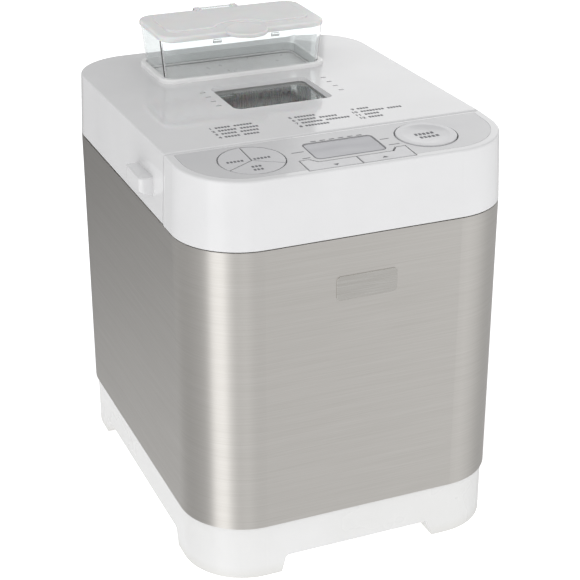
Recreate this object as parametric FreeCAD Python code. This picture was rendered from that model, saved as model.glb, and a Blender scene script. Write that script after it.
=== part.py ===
import FreeCAD, Part
import math
import os

V = FreeCAD.Vector

# Countertop bread machine. Millimetres, +Z up, front faces -Y. The drawing's own origin is the
# middle of the steel casing at floor level; the export shift at the end centres the whole box.

# casing
body_x = 113.0            # half width of the steel casing
body_y = 143.0            # half depth
body_r = 45.0             # vertical corner radius
sheet = 0.8               # casing sheet thickness
steel_z0 = 40.7
steel_z1 = 240.5
lip_in = 3.3              # how far the bottom hem turns inwards
flange_in = 9.0           # how far the top flange turns inwards

# base
base_inset = 1.8
leg_z0 = 0.8
arch_z = 13.3
base_floor = 2.5
base_wall = 3.2
tongue_z = 46.0
leg_x = 53.5              # inner edge of the legs at the arch, front and rear
leg_y = 81.0              # inner edge of the legs at the arch, left and right
leg_splay = 3.5           # the gap between legs widens by this towards the floor
foot_x = 86.0
foot_y = 116.0
foot_r = 9.0

# top
split_y = -81.5           # parting line between lid and control panel
split_gap = 1.0
split_z = 288.5           # top surface at the parting line
rear_z = 285.5            # top surface at the rear edge
panel_slope = 2.36        # degrees that the control panel falls towards the front
draft = 0.0435
top_wall = 2.6
lid_z0 = 242.0
panel_z0 = 241.2
deck_z = 243.0            # top of the deck plate
edge_round = 1.4

# lid hinge
hinge_y = 148.2
hinge_z = 246.0
hinge_x = 62.0
knuckle_r = 4.5
knuckle_half = 4.6
pin_r = 1.95

# baking chamber, all on one vertical axis with the drive
drive_y = 35.0
chamber_x = 90.0
chamber_y = 91.0
chamber_r = 30.0
chamber_z0 = 66.0
pan_x = 75.0
pan_y = 70.0
pan_z0 = 95.0
pan_z1 = 232.0
liner_z = 261.0           # underside of the raised middle of the lid's inner plate
rim_z = 252.0             # underside of its rim

# window in the lid
top_cx = -2.0             # window and dispenser sit a little left of the middle
win_x = 36.0
win_y = 26.5
win_cy = 10.0
win_r = 5.5
glass_z1 = 284.2
glass_z0 = 281.5

# ingredient dispenser on the lid
disp_cy = 85.75
disp_x = 63.0
disp_y = 31.25
disp_r = 11.0
bin_z0 = 284.0
bin_z1 = 316.4
cap_x = 62.5
cap_y0 = 54.0
cap_y1 = 118.6
cap_z0 = 316.8
cap_z1 = 321.6            # top of the raised middle
cap_edge_z = 320.5        # top of the rim
cap_hinge_y = 121.0
cap_hinge_z = 318.6
flap_y = 110.2
flap_z = 280.2
crank = 10.0
flap_swing = 60.0

# drive
motor_y = -102.0
motor_r = 34.0
big_r = 58.0
small_r = 9.0
pulley_z0 = 26.0
pulley_z1 = 40.0
belt_gap = 0.3
belt_t = 1.6
plate_z0 = 48.0
plate_z1 = 50.0

# control panel
key_gap = 0.9
dial_x = -63.2
dial_y = -109.5
dial_r = 21.0
start_x = 57.3
start_y = -109.0
start_r = 20.0
lcd_x0 = -24.5
lcd_x1 = 23.0
lcd_y0 = -122.0
lcd_y1 = -97.0

# rear of the casing
cord_x = 50.0
cord_z = 64.0
cord_r = 3.6              # bore for the mains lead

fit = 0.03                # radial clearance of a fixed pin or screw in its hole
running = 0.05            # radial clearance of a turning shaft
nodes = {}


def keep(name, *solids):
    nodes[name] = list(solids)


def box(x0, x1, y0, y1, z0, z1):
    return Part.makeBox(x1 - x0, y1 - y0, z1 - z0, V(x0, y0, z0))


def rod(r, a, b):
    start = V(*a)
    run = V(*b) - start
    return Part.makeCylinder(r, run.Length, start, run)


def pipe(outer, inner, a, b):
    return rod(outer, a, b).cut(rod(inner, a, b))


def outline(hx, hy, r, z, cx=0.0, cy=0.0):
    # rounded rectangle from four quarter circles and the lines between them
    arcs = []
    for i, (sx, sy) in enumerate(((1, -1), (1, 1), (-1, 1), (-1, -1))):
        middle = V(cx + sx * (hx - r), cy + sy * (hy - r), z)
        arcs.append(Part.makeCircle(r, middle, V(0, 0, 1), 90 * i - 90, 90 * i))
    edges = []
    for i, arc in enumerate(arcs):
        edges.append(arc)
        edges.append(Part.makeLine(arc.Vertexes[-1].Point, arcs[(i + 1) % 4].Vertexes[0].Point))
    return Part.Wire(edges)


def slab(hx, hy, r, z0, z1, cx=0.0, cy=0.0):
    return Part.Face(outline(hx, hy, r, z0, cx, cy)).extrude(V(0, 0, z1 - z0))


def ring(hx, hy, r, width, z0, z1, cx=0.0, cy=0.0):
    hole = slab(hx - width, hy - width, r - width, z0, z1, cx, cy)
    return slab(hx, hy, r, z0, z1, cx, cy).cut(hole)


def loft(low, high):
    return Part.makeLoft([low, high], True, True)


def prism(points, direction):
    corners = [V(*p) for p in points]
    return Part.Face(Part.makePolygon(corners + corners[:1])).extrude(V(*direction))


def fuse(first, *others):
    return first.fuse(list(others)).removeSplitter()


def cut(first, *others):
    return first.cut(list(others))


def round_edges(solid, radius, wanted):
    return solid.makeFillet(radius, [e for e in solid.Edges if wanted(e)])


def hexagon(x, y, r, z):
    turns = [math.radians(60 * i) for i in range(6)]
    return [(x + r * math.cos(a), y + r * math.sin(a), z) for a in turns]


def screw(x, y, z, turn_up, head_r, head_h, shank_r, length):
    # pan-head screw: the head's seat at z, the shank runs up (1) or down (-1)
    head = rod(head_r, (x, y, z), (x, y, z - turn_up * head_h))
    top = z - turn_up * head_h
    slot = box(x - head_r, x + head_r, y - 0.5, y + 0.5, top - 0.6, top + 0.6)
    shank = rod(shank_r, (x, y, z), (x, y, z + turn_up * length))
    return fuse(cut(head, slot), shank)


def roof(inset, drop):
    # everything under the sloping top surface, shrunk by inset and lowered by drop
    slope = math.tan(math.radians(panel_slope))
    rear_fall = (split_z - rear_z) / (body_y - 2.0 - split_y)
    front, rear = -160.0, 160.0
    section = [
        (-130, front, panel_z0),
        (-130, rear, panel_z0),
        (-130, rear, split_z - drop - (rear - split_y) * rear_fall),
        (-130, split_y, split_z - drop),
        (-130, front, split_z - drop + (front - split_y) * slope),
    ]
    under = prism(section, (260, 0, 0))
    rise = 52.0
    low = outline(body_x - inset, body_y - inset, body_r - inset, panel_z0)
    narrow = inset + rise * draft
    high = outline(body_x - narrow, body_y - narrow, body_r - narrow, panel_z0 + rise)
    return loft(low, high).common(under)


def on_roof(edge, low_y, high_y):
    # true for edges that lie in the top surface between two depths
    slope = math.tan(math.radians(panel_slope))
    rear_fall = (split_z - rear_z) / (body_y - 2.0 - split_y)
    first, last = edge.ParameterRange
    for step in (0.0, 0.5, 1.0):
        p = edge.valueAt(first + step * (last - first))
        fall = (p.y - split_y) * rear_fall if p.y > split_y else (split_y - p.y) * slope
        if abs(p.z - (split_z - fall)) > 0.05 or p.y < low_y or p.y > high_y:
            return False
    return True


def tilt(shape):
    # from flat panel coordinates, top at split_z, to the sloping control panel
    turned = shape.copy()
    turned.rotate(V(0, split_y, split_z), V(1, 0, 0), panel_slope)
    return turned


def make_base():
    x, y, r = body_x - base_inset, body_y - base_inset, body_r - base_inset
    tray = slab(x, y, r, leg_z0, steel_z0)
    tongue_inset = base_inset + 1.6
    tongue = slab(body_x - tongue_inset, body_y - tongue_inset, body_r - tongue_inset, steel_z0, tongue_z)
    tray = fuse(tray, tongue)
    for along_y, edge in ((True, leg_x), (False, leg_y)):
        wide = edge + leg_splay
        if along_y:
            section = [(-wide, -200, 0), (wide, -200, 0), (edge, -200, arch_z), (-edge, -200, arch_z)]
            gap = prism(section, (0, 400, 0))
        else:
            section = [(-200, -wide, 0), (-200, wide, 0), (-200, edge, arch_z), (-200, -edge, arch_z)]
            gap = prism(section, (400, 0, 0))
        top = [e for e in gap.Edges if abs(e.BoundBox.ZMin - arch_z) < 0.01 and e.Length > 300]
        tray = tray.cut(gap.makeFillet(3.0, top))
    floor_z = arch_z + base_floor
    cavity_in = base_inset + base_wall
    cavity = slab(body_x - cavity_in, body_y - cavity_in, body_r - cavity_in, floor_z, tongue_z + 1)
    tray = tray.cut(cavity)
    leg_floor = 4.8
    pocket = slab(body_x - cavity_in, body_y - cavity_in, body_r - cavity_in, leg_floor, floor_z)
    cuts = []
    feet = []
    for sx in (-1, 1):
        for sy in (-1, 1):
            x0, x1 = sorted((sx * (leg_x + leg_splay + base_wall), sx * 130))
            y0, y1 = sorted((sy * (leg_y + leg_splay + base_wall), sy * 160))
            cuts.append(pocket.common(box(x0, x1, y0, y1, 0, 60)))
            cuts.append(rod(foot_r + 0.1, (sx * foot_x, sy * foot_y, 0), (sx * foot_x, sy * foot_y, 2.6)))
            foot = rod(foot_r, (sx * foot_x, sy * foot_y, 0), (sx * foot_x, sy * foot_y, 2.6))
            feet.append(round_edges(foot, 0.5, lambda e: e.BoundBox.ZMax < 0.01))
    posts = []
    for x, y in post_places():
        posts.append(rod(6.0, (x, y, floor_z - 0.5), (x, y, plate_z0)))
        cuts.append(rod(2.0 + fit, (x, y, 10), (x, y, 60)))
    for i in range(9):
        x = -32 + 8 * i
        cuts.append(box(x - 1.5, x + 1.5, -128, -76, 12, 17))
    keep("base_tray", cut(fuse(tray, *posts), *cuts))
    keep("rubber_feet", *feet)


def post_places():
    return [(-46.0, -118.0), (46.0, -118.0), (-46.0, 120.0), (46.0, 120.0)]


def deck_screw_places():
    return [(s * 106.6, y) for s in (-1, 1) for y in (-60.0, 25.0, 95.0)]


def rear_rivet_places():
    return [(x, z) for x in (-7.0, 7.0) for z in (62.0, 116.0, 170.0, 224.0)]


def bracket_screw_places():
    return [(s * hinge_x + dx, 224.0) for s in (-1, 1) for dx in (-11.0, 11.0)]


def make_casing():
    wrap = ring(body_x, body_y, body_r, sheet, steel_z0, steel_z1)
    inner = (body_x - sheet, body_y - sheet, body_r - sheet)
    hem = ring(*inner, lip_in - sheet, steel_z0, steel_z0 + sheet)
    flange = ring(*inner, flange_in - sheet, steel_z1 - sheet, steel_z1)
    wrap = fuse(wrap, hem, flange)
    cuts = [box(-0.3, 0.3, 125, 150, 30, 250)]
    for x, z in rear_rivet_places():
        cuts.append(rod(1.2 + fit, (x, 140, z), (x, 146, z)))
    for x, z in bracket_screw_places():
        cuts.append(rod(1.5 + fit, (x, 140, z), (x, 146, z)))
    for x, y in deck_screw_places():
        cuts.append(rod(1.5 + fit, (x, y, 230), (x, y, 250)))
    cuts.append(rod(7.0 + fit, (cord_x, 138, cord_z), (cord_x, 146, cord_z)))
    for row in range(3):
        for i in range(8):
            x = -92 + 8 * i
            z = 92 + 14 * row
            cuts.append(box(x - 1.5, x + 1.5, 140, 146, z, z + 9))
    keep("steel_casing", cut(wrap, *cuts))

    inside = body_y - sheet
    strip = box(-12, 12, inside - 0.8, inside, 48, 238)
    rivets = []
    for x, z in rear_rivet_places():
        strip = strip.cut(rod(1.2 + fit, (x, 140, z), (x, 143, z)))
        shank = rod(1.2, (x, inside - 0.8, z), (x, body_y, z))
        outer = rod(2.4, (x, body_y, z), (x, body_y + 0.8, z))
        outer = round_edges(outer, 0.5, lambda e: e.BoundBox.YMin > body_y + 0.7)
        tail = rod(2.0, (x, inside - 1.6, z), (x, inside - 0.8, z))
        rivets.append(fuse(shank, outer, tail))
    keep("seam_strip", strip, *rivets)

    flange_part = rod(10.0, (cord_x, body_y, cord_z), (cord_x, body_y + 3.5, cord_z))
    flange_part = round_edges(flange_part, 1.2, lambda e: e.BoundBox.YMin > body_y + 3.4)
    neck = rod(7.0, (cord_x, 137, cord_z), (cord_x, body_y, cord_z))
    gland = fuse(flange_part, neck).cut(rod(cord_r, (cord_x, 130, cord_z), (cord_x, 150, cord_z)))
    nut = prism([(cord_x + 10 * math.cos(math.radians(60 * i)), inside - 5.0,
                  cord_z + 10 * math.sin(math.radians(60 * i))) for i in range(6)], (0, 5.0, 0))
    keep("cord_gland", gland, nut.cut(rod(7.0 + fit, (cord_x, 130, cord_z), (cord_x, 150, cord_z))))

    badge = box(-20, 22.5, -body_y - 0.6, -body_y, 198, 214.5)
    badge = round_edges(badge, 3.0, lambda e: abs(e.Length - 0.6) < 0.01)
    badge = round_edges(badge, 0.25, lambda e: e.BoundBox.YMax < -body_y - 0.59)
    keep("blank_badge", badge)


def make_chassis():
    plate = slab(104, 134, 36, plate_z0, plate_z1)
    cuts = [rod(12.0, (0, drive_y, 40), (0, drive_y, 60)), rod(6.0, (0, motor_y, 40), (0, motor_y, 60))]
    for x, y in post_places():
        cuts.append(rod(2.0 + fit, (x, y, 40), (x, y, 60)))
    for i in range(4):
        x = -72 + 48 * i
        cuts.append(box(x - 12, x + 12, 100, 104, 40, 60))
    standoffs = []
    for sx in (-1, 1):
        for sy in (-1, 1):
            x, y = sx * 62, drive_y + sy * 62
            standoffs.append(pipe(5.0, 2.0, (x, y, plate_z1), (x, y, chamber_z0)))
            cuts.append(rod(2.0, (x, y, 40), (x, y, 60)))
    keep("chassis_plate", cut(plate, *cuts), *standoffs)
    screws = []
    nuts = []
    for x, y in post_places():
        screws.append(screw(x, y, arch_z, 1, 3.8, 2.4, 2.0, 41.0))
        nut = prism(hexagon(x, y, 4.0, plate_z1), (0, 0, 3.2))
        nuts.append(nut.cut(rod(2.0 + fit, (x, y, 40), (x, y, 60))))
    keep("base_screws", *screws, *nuts)


def make_chamber():
    shell = slab(chamber_x, chamber_y, chamber_r, chamber_z0, steel_z1, 0, drive_y)
    hollow = slab(chamber_x - sheet, chamber_y - sheet, chamber_r - sheet,
                  chamber_z0 + sheet, steel_z1 + 1, 0, drive_y)
    flange = ring(98.0, 99.0, 38.0, 8.5, steel_z1 - sheet, steel_z1, 0, drive_y)
    shell = fuse(shell, flange).cut(hollow)
    cuts = [rod(12.0, (0, drive_y, 60), (0, drive_y, 70))]
    wall_y = drive_y - chamber_y
    end_x = 36.0
    for sx in (-1, 1):
        cuts.append(rod(5.0 + fit, (sx * end_x, wall_y - 5, 84), (sx * end_x, wall_y + 5, 84)))
    cuts.append(rod(3.0 + fit, (50, wall_y - 5, 130), (50, wall_y + 5, 130)))
    keep("chamber_liner", cut(shell, *cuts))

    shield = ring(101.0, 101.0, 39.0, 0.6, plate_z1, 238.8, 0, drive_y)
    cuts = []
    for sx in (-1, 1):
        cuts.append(rod(5.0 + fit, (sx * end_x, -70, 84), (sx * end_x, -60, 84)))
    cuts.append(rod(3.0 + fit, (50, -70, 130), (50, -60, 130)))
    keep("heat_shield", cut(shield, *cuts))

    # tubular heating loop: a rounded square open at the front, its ends run out to the terminals
    hx, hy, r, z = 79.0, 79.0, 24.0, 84.0
    front = drive_y - hy
    rear = drive_y + hy
    turn = 8.0
    left_x, right_x = -end_x, end_x
    edges = [
        Part.makeLine(V(left_x, wall_y - 16, z), V(left_x, front - turn, z)),
        Part.makeCircle(turn, V(left_x - turn, front - turn, z), V(0, 0, 1), 0, 90),
        Part.makeLine(V(left_x - turn, front, z), V(-hx + r, front, z)),
        Part.makeCircle(r, V(-hx + r, front + r, z), V(0, 0, 1), 180, 270),
        Part.makeLine(V(-hx, front + r, z), V(-hx, rear - r, z)),
        Part.makeCircle(r, V(-hx + r, rear - r, z), V(0, 0, 1), 90, 180),
        Part.makeLine(V(-hx + r, rear, z), V(hx - r, rear, z)),
        Part.makeCircle(r, V(hx - r, rear - r, z), V(0, 0, 1), 0, 90),
        Part.makeLine(V(hx, rear - r, z), V(hx, front + r, z)),
        Part.makeCircle(r, V(hx - r, front + r, z), V(0, 0, 1), 270, 360),
        Part.makeLine(V(hx - r, front, z), V(right_x + turn, front, z)),
        Part.makeCircle(turn, V(right_x + turn, front - turn, z), V(0, 0, 1), 90, 180),
        Part.makeLine(V(right_x, front - turn, z), V(right_x, wall_y - 16, z)),
    ]
    path = Part.Wire(Part.__sortEdges__(edges))
    tube_r = 3.3
    profile = Part.Wire(Part.makeCircle(tube_r, V(left_x, wall_y - 16, z), V(0, 1, 0)))
    tube = path.makePipeShell([profile], True, False)
    insulators = []
    tabs = []
    for x in (left_x, right_x):
        sleeve = rod(5.0, (x, -68, z), (x, wall_y + sheet, z))
        collar = rod(7.0, (x, wall_y + sheet, z), (x, wall_y + 3.2, z))
        sleeve = fuse(sleeve, collar)
        insulators.append(sleeve.cut(rod(tube_r + fit, (x, -90, z), (x, -40, z))))
        tabs.append(box(x - 3.1, x + 3.1, wall_y - 27, wall_y - 16, z - 0.4, z + 0.4))
    keep("element_terminals", *insulators, *tabs)

    clips = []
    for sx in (-1, 1):
        eye = pipe(4.6, tube_r + fit, (sx * hx, drive_y - 5, z), (sx * hx, drive_y + 5, z))
        x0, x1 = sorted((sx * (hx + 4.2), sx * (chamber_x - sheet)))
        clips.append(fuse(eye, box(x0, x1, drive_y - 5, drive_y + 5, z - 0.6, z + 0.6)))
    eye = pipe(4.6, tube_r + fit, (-5, rear, z), (5, rear, z))
    clips.append(fuse(eye, box(-5, 5, rear + 4.2, drive_y + chamber_y - sheet, z - 0.6, z + 0.6)))
    keep("heating_element", tube, *clips)

    probe = rod(3.0, (50, -71, 130), (50, -44, 130))
    collar = rod(6.0, (50, wall_y + sheet, 130), (50, wall_y + 2.4, 130))
    keep("temperature_sensor", fuse(probe, collar))


def ring_segments(inner, outer, z0, z1, centres, half_angle):
    # equal pieces of a flat ring about the drive axis
    pieces = []
    for centre in centres:
        whole = pipe(outer, inner, (0, drive_y, z0), (0, drive_y, z1))
        a0 = math.radians(centre - half_angle)
        a1 = math.radians(centre + half_angle)
        far = outer * 2
        wedge = prism([
            (0, drive_y, z0 - 1),
            (far * math.cos(a0), drive_y + far * math.sin(a0), z0 - 1),
            (far * math.cos(a1), drive_y + far * math.sin(a1), z0 - 1),
        ], (0, 0, z1 - z0 + 2))
        pieces.append(whole.common(wedge))
    return pieces


def make_pan():
    z = chamber_z0 + sheet
    seat = pipe(56.0, 22.0, (0, drive_y, z), (0, drive_y, z + 2))
    wall = pipe(53.0, 50.6, (0, drive_y, z + 2), (0, drive_y, z + 11.0))
    hooks = ring_segments(48.5, 51.0, z + 8.6, z + 11.0, (0, 180), 5.5)
    windows = ring_segments(50.0, 54.0, z + 2.0, z + 8.6, (0, 180), 14.0)
    socket = fuse(seat, wall, *hooks)
    keep("pan_socket", cut(socket, *windows))

    skirt = pipe(48.0, 45.0, (0, drive_y, z + 4.0), (0, drive_y, pan_z0))
    web = pipe(46.0, 14.0, (0, drive_y, pan_z0 - 2.0), (0, drive_y, pan_z0))
    lugs = ring_segments(47.0, 50.0, z + 4.6, z + 7.6, (0, 180), 5.5)
    keep("pan_base_ring", fuse(skirt, web, *lugs))

    low = 3.0
    outer = loft(outline(pan_x - low, pan_y - low, 20, pan_z0, 0, drive_y),
                 outline(pan_x, pan_y, 22, pan_z1, 0, drive_y))
    gauge = 1.5
    inner = loft(outline(pan_x - low - gauge, pan_y - low - gauge, 18.5, pan_z0 + gauge, 0, drive_y),
                 outline(pan_x - gauge, pan_y - gauge, 20.5, pan_z1 + 0.1, 0, drive_y))
    rim = slab(pan_x + 3, pan_y + 3, 25, pan_z1 - 2.5, pan_z1, 0, drive_y)
    rim = round_edges(rim, 1.0, lambda e: True)
    pan = fuse(outer, rim).cut(inner)
    pan = pan.cut(rod(9.0 + fit, (0, drive_y, 90), (0, drive_y, 100)))
    bail_z = 238.0
    ears = []
    for s in (-1, 1):
        x0, x1 = sorted((s * (pan_x - 4.2), s * (pan_x - 2.4)))
        ear = box(x0, x1, drive_y - 7, drive_y + 7, 214, 238)
        ear = fuse(ear, rod(7.0, (x0, drive_y, bail_z), (x1, drive_y, bail_z)))
        ears.append(ear.cut(rod(2.6 + running, (x0 - 1, drive_y, bail_z), (x1 + 1, drive_y, bail_z))))
    keep("bread_pan", pan)
    studs = []
    for s in (-1, 1):
        for dy in (-4.0, 4.0):
            stud_y = drive_y + dy
            studs.append(rod(1.6, (s * (pan_x - 5.4), stud_y, 220), (s * (pan_x - 4.2), stud_y, 220)))
    keep("pan_ears", *ears, *studs)

    # wire bail, lying forward over the rim: bent ends sit in the ears
    reach = 71.5
    arm_x = 66.0
    corner = 20.0
    wire_r = 2.6
    drop_end = pan_z1 + wire_r + 0.2
    pitch = math.degrees(math.asin((bail_z - drop_end) / reach))
    edges = [
        Part.makeLine(V(-pan_x + 1.0, 0, 0), V(-arm_x - 4, 0, 0)),
        Part.makeCircle(4.0, V(-arm_x - 4, -4, 0), V(0, 0, 1), 0, 90),
        Part.makeLine(V(-arm_x, -4, 0), V(-arm_x, -reach + corner, 0)),
        Part.makeCircle(corner, V(-arm_x + corner, -reach + corner, 0), V(0, 0, 1), 180, 270),
        Part.makeLine(V(-arm_x + corner, -reach, 0), V(arm_x - corner, -reach, 0)),
        Part.makeCircle(corner, V(arm_x - corner, -reach + corner, 0), V(0, 0, 1), 270, 360),
        Part.makeLine(V(arm_x, -reach + corner, 0), V(arm_x, -4, 0)),
        Part.makeCircle(4.0, V(arm_x + 4, -4, 0), V(0, 0, 1), 90, 180),
        Part.makeLine(V(arm_x + 4, 0, 0), V(pan_x - 1.0, 0, 0)),
    ]
    path = Part.Wire(Part.__sortEdges__(edges))
    profile = Part.Wire(Part.makeCircle(wire_r, V(-pan_x + 1.0, 0, 0), V(1, 0, 0)))
    bail = path.makePipeShell([profile], True, False)
    bail.rotate(V(0, 0, 0), V(1, 0, 0), pitch)
    bail.translate(V(0, drive_y, bail_z))
    keep("pan_handle", bail)

    bush = rod(9.0, (0, drive_y, 86), (0, drive_y, 104))
    collar = rod(13.0, (0, drive_y, pan_z0 + gauge), (0, drive_y, pan_z0 + gauge + 2))
    bush = fuse(bush, collar).cut(rod(4.0 + running, (0, drive_y, 80), (0, drive_y, 110)))
    nut = prism(hexagon(0, drive_y, 11.0, 88), (0, 0, 5))
    keep("pan_bearing", bush, nut.cut(rod(9.0 + fit, (0, drive_y, 80), (0, drive_y, 110))))

    shaft_top = 126.0
    shaft = rod(4.0, (0, drive_y, 75), (0, drive_y, shaft_top))
    flat = box(3.0, 6, drive_y - 6, drive_y + 6, 105.5, shaft_top + 1)
    wing = box(-16, 16, drive_y - 2.8, drive_y + 2.8, 75.5, 82.5)
    wing = round_edges(wing, 2.0, lambda e: abs(e.Length - 7) < 0.01)
    wing = fuse(wing, rod(6.5, (0, drive_y, 75.5), (0, drive_y, 85.0)))
    keep("pan_shaft", shaft.cut(flat), wing.cut(rod(4.0, (0, drive_y, 70), (0, drive_y, 90))))

    hub = rod(8.6, (0, drive_y, 104.6), (0, drive_y, 130))
    hub = round_edges(hub, 2.5, lambda e: e.BoundBox.ZMin > 129.9)
    blade = prism([(4, drive_y - 2.4, 105.5), (46, drive_y - 2.4, 105.5), (43, drive_y - 2.4, 122),
                   (26, drive_y - 2.4, 134), (10, drive_y - 2.4, 140), (4, drive_y - 2.4, 136)], (0, 4.8, 0))
    blade = round_edges(blade, 1.6, lambda e: e.BoundBox.YLength < 0.01 and e.BoundBox.XMax > 9)
    bore = rod(4.0 + running, (0, drive_y, 100), (0, drive_y, shaft_top + 0.3))
    bore = bore.cut(box(3.0 + running, 8, drive_y - 6, drive_y + 6, 106, shaft_top + 1))
    keep("kneading_paddle", fuse(hub, blade).cut(bore))


def belt_outline(r_big, r_small, z):
    # open belt round two circles on the Y axis, the large one at drive_y
    run = drive_y - motor_y
    lean = math.acos((r_big - r_small) / run)
    points = []
    for side in (1, -1):
        for r, y in ((r_big, drive_y), (r_small, motor_y)):
            points.append(V(side * r * math.sin(lean), y - r * math.cos(lean), z))
    right_big, right_small, left_big, left_small = points
    far = Part.Arc(right_big, V(0, drive_y + r_big, z), left_big).toShape()
    near = Part.Arc(left_small, V(0, motor_y - r_small, z), right_small).toShape()
    sides = [Part.makeLine(left_big, left_small), Part.makeLine(right_small, right_big)]
    return Part.Wire([far, sides[0], near, sides[1]])


def pulley(r, flange_r, y, bore_r, spokes):
    wheel = rod(r, (0, y, pulley_z0), (0, y, pulley_z1))
    for z0, z1 in ((pulley_z0, pulley_z0 + 1.5), (pulley_z1 - 1.5, pulley_z1)):
        wheel = wheel.fuse(rod(flange_r, (0, y, z0), (0, y, z1)))
    cuts = [rod(bore_r, (0, y, 0), (0, y, 100))]
    for i in range(spokes):
        a = math.radians(360.0 * i / spokes)
        hx, hy = 34 * math.cos(a), y + 34 * math.sin(a)
        cuts.append(rod(13.5, (hx, hy, 0), (hx, hy, 100)))
    return cut(wheel.removeSplitter(), *cuts)


def make_drive():
    keep("large_pulley", pulley(big_r, big_r + 2.5, drive_y, 5.0, 6))
    keep("small_pulley", pulley(small_r, small_r + 2.5, motor_y, 3.0, 0))
    z0 = pulley_z0 + 2.0
    outer = Part.Face(belt_outline(big_r + belt_gap + belt_t, small_r + belt_gap + belt_t, z0))
    inner = Part.Face(belt_outline(big_r + belt_gap, small_r + belt_gap, z0))
    keep("drive_belt", outer.cut(inner).extrude(V(0, 0, pulley_z1 - pulley_z0 - 4.0)))

    keep("drive_shaft", rod(5.0, (0, drive_y, 22), (0, drive_y, 73)))
    housing = fuse(rod(26.0, (0, drive_y, plate_z1), (0, drive_y, plate_z1 + 3)),
                   rod(11.5, (0, drive_y, plate_z0), (0, drive_y, 65)))
    housing = housing.cut(rod(8.0, (0, drive_y, 40), (0, drive_y, 70)))
    bushes = []
    for z in (plate_z0, 58.0):
        bushes.append(pipe(8.0, 5.0 + running, (0, drive_y, z), (0, drive_y, z + 7)))
    keep("bearing_housing", housing, *bushes)
    hub = rod(16.5, (0, drive_y, 70), (0, drive_y, 73.2)).cut(rod(5.0, (0, drive_y, 60), (0, drive_y, 80)))
    posts = []
    for s in (-1, 1):
        posts.append(rod(3.6, (0, drive_y + s * 11.8, 73), (0, drive_y + s * 11.8, 82)))
    keep("drive_socket", fuse(hub, *posts))

    bottom, top = 56.0, 116.0
    can = rod(motor_r, (0, motor_y, bottom), (0, motor_y, top))
    can = round_edges(can, 2.5, lambda e: e.Length > 100)
    hollow = rod(motor_r - 1.6, (0, motor_y, bottom + 2), (0, motor_y, top - 2))
    bore = rod(3.0 + running, (0, motor_y, 0), (0, motor_y, 200))
    slots = []
    for i in range(8):
        a = math.radians(22.5 + 45 * i)
        x, y = 22 * math.cos(a), motor_y + 22 * math.sin(a)
        slots.append(rod(4.0, (x, y, top - 4), (x, y, top + 4)))
    stator = pipe(motor_r - 1.6, 21.0, (0, motor_y, 66), (0, motor_y, 104))
    keep("motor_can", cut(can, hollow, bore, *slots), stator)
    shaft = rod(3.0, (0, motor_y, 23), (0, motor_y, top + 4))
    keep("motor_rotor", pipe(20.0, 3.0, (0, motor_y, 68), (0, motor_y, 102)), shaft)
    bracket = slab(40, 34, 6, plate_z1 + 4, bottom, 0, motor_y)
    bracket = bracket.cut(rod(8.0, (0, motor_y, 40), (0, motor_y, 70)))
    grommets = []
    for sx in (-1, 1):
        for sy in (-1, 1):
            place = (sx * 32, motor_y + sy * 26)
            grommets.append(rod(5.0, place + (plate_z1,), place + (plate_z1 + 4,)))
    keep("motor_bracket", bracket, *grommets)


def make_electrics():
    board = box(42, 96, -74.5, -72.9, 62, 172)
    parts = [
        box(48, 72, -98, -74.5, 70, 100),
        box(78, 92, -90, -74.5, 72, 92),
        box(48, 66, -92, -74.5, 110, 126),
        rod(7, (84, -74.5, 118), (84, -94, 118)),
        rod(5, (60, -74.5, 146), (60, -92, 146)),
        box(74, 92, -84, -74.5, 140, 164),
    ]
    holders = []
    for x in (44, 88):
        upright = box(x, x + 6, -78, -76.5, plate_z1, 62)
        foot = box(x, x + 6, -76.5, -66.5, plate_z1, plate_z1 + 1)
        shelf = box(x, x + 6, -76.5, -71.5, 60.8, 62)
        holders.append(fuse(upright, foot, shelf))
    can = rod(15, (-68, -98, plate_z1 + 1.0), (-68, -98, 104))
    can = round_edges(can, 1.5, lambda e: e.BoundBox.ZMin > 103.9)
    clip = fuse(pipe(16.4, 15 + fit, (-68, -98, 66), (-68, -98, 80)),
                box(-70, -66, -82.2, -70, 66, 67.2),
                box(-70, -66, -71.2, -70, plate_z1, 67.2),
                box(-70, -66, -80, -70, plate_z1, plate_z1 + 1.0))
    keep("power_board", fuse(board, *parts), *holders, can, clip)


def make_deck():
    deck = slab(109.4, 139.4, 41.4, steel_z1, deck_z)
    wide = slab(chamber_x - 1.0, chamber_y - 1.0, chamber_r - 1.0, 230, 260, 0, drive_y)
    coaming = ring(chamber_x + 1.6, chamber_y + 1.6, chamber_r + 1.6, 2.6, deck_z, 249.0, 0, drive_y)
    front = slab(84, 17, 8, 230, 250, 0, -108)
    deck = fuse(deck, coaming)
    cuts = [wide, front]
    screws = []
    for x, y in deck_screw_places():
        cuts.append(rod(1.5 + fit, (x, y, 230), (x, y, 250)))
        screws.append(screw(x, y, deck_z, -1, 2.7, 1.5, 1.5, 9.0))
    for x, y in panel_screw_places():
        cuts.append(rod(1.5 + fit, (x, y, 230), (x, y, 250)))
        screws.append(screw(x, y, steel_z1, 1, 2.7, 1.5, 1.5, 16.0))
    keep("deck_frame", cut(deck, *cuts))
    keep("case_screws", *screws)


def dial_sector(middle, outer, z0, z1, grow):
    # one third of the round key group, pulled back from its neighbours by half a gap
    a0 = math.radians(middle - 60)
    a1 = math.radians(middle + 60)
    far = outer * 4
    wedge = prism([(0, 0, z0), (far * math.cos(a0), far * math.sin(a0), z0),
                   (far * math.cos(math.radians(middle)), far * math.sin(math.radians(middle)), z0),
                   (far * math.cos(a1), far * math.sin(a1), z0)], (0, 0, z1 - z0))
    back = key_gap / 2 / math.sin(math.radians(60))
    wedge.translate(V(back * math.cos(math.radians(middle)), back * math.sin(math.radians(middle)), 0))
    return rod(outer + grow, (0, 0, z0), (0, 0, z1)).common(wedge)


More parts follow.
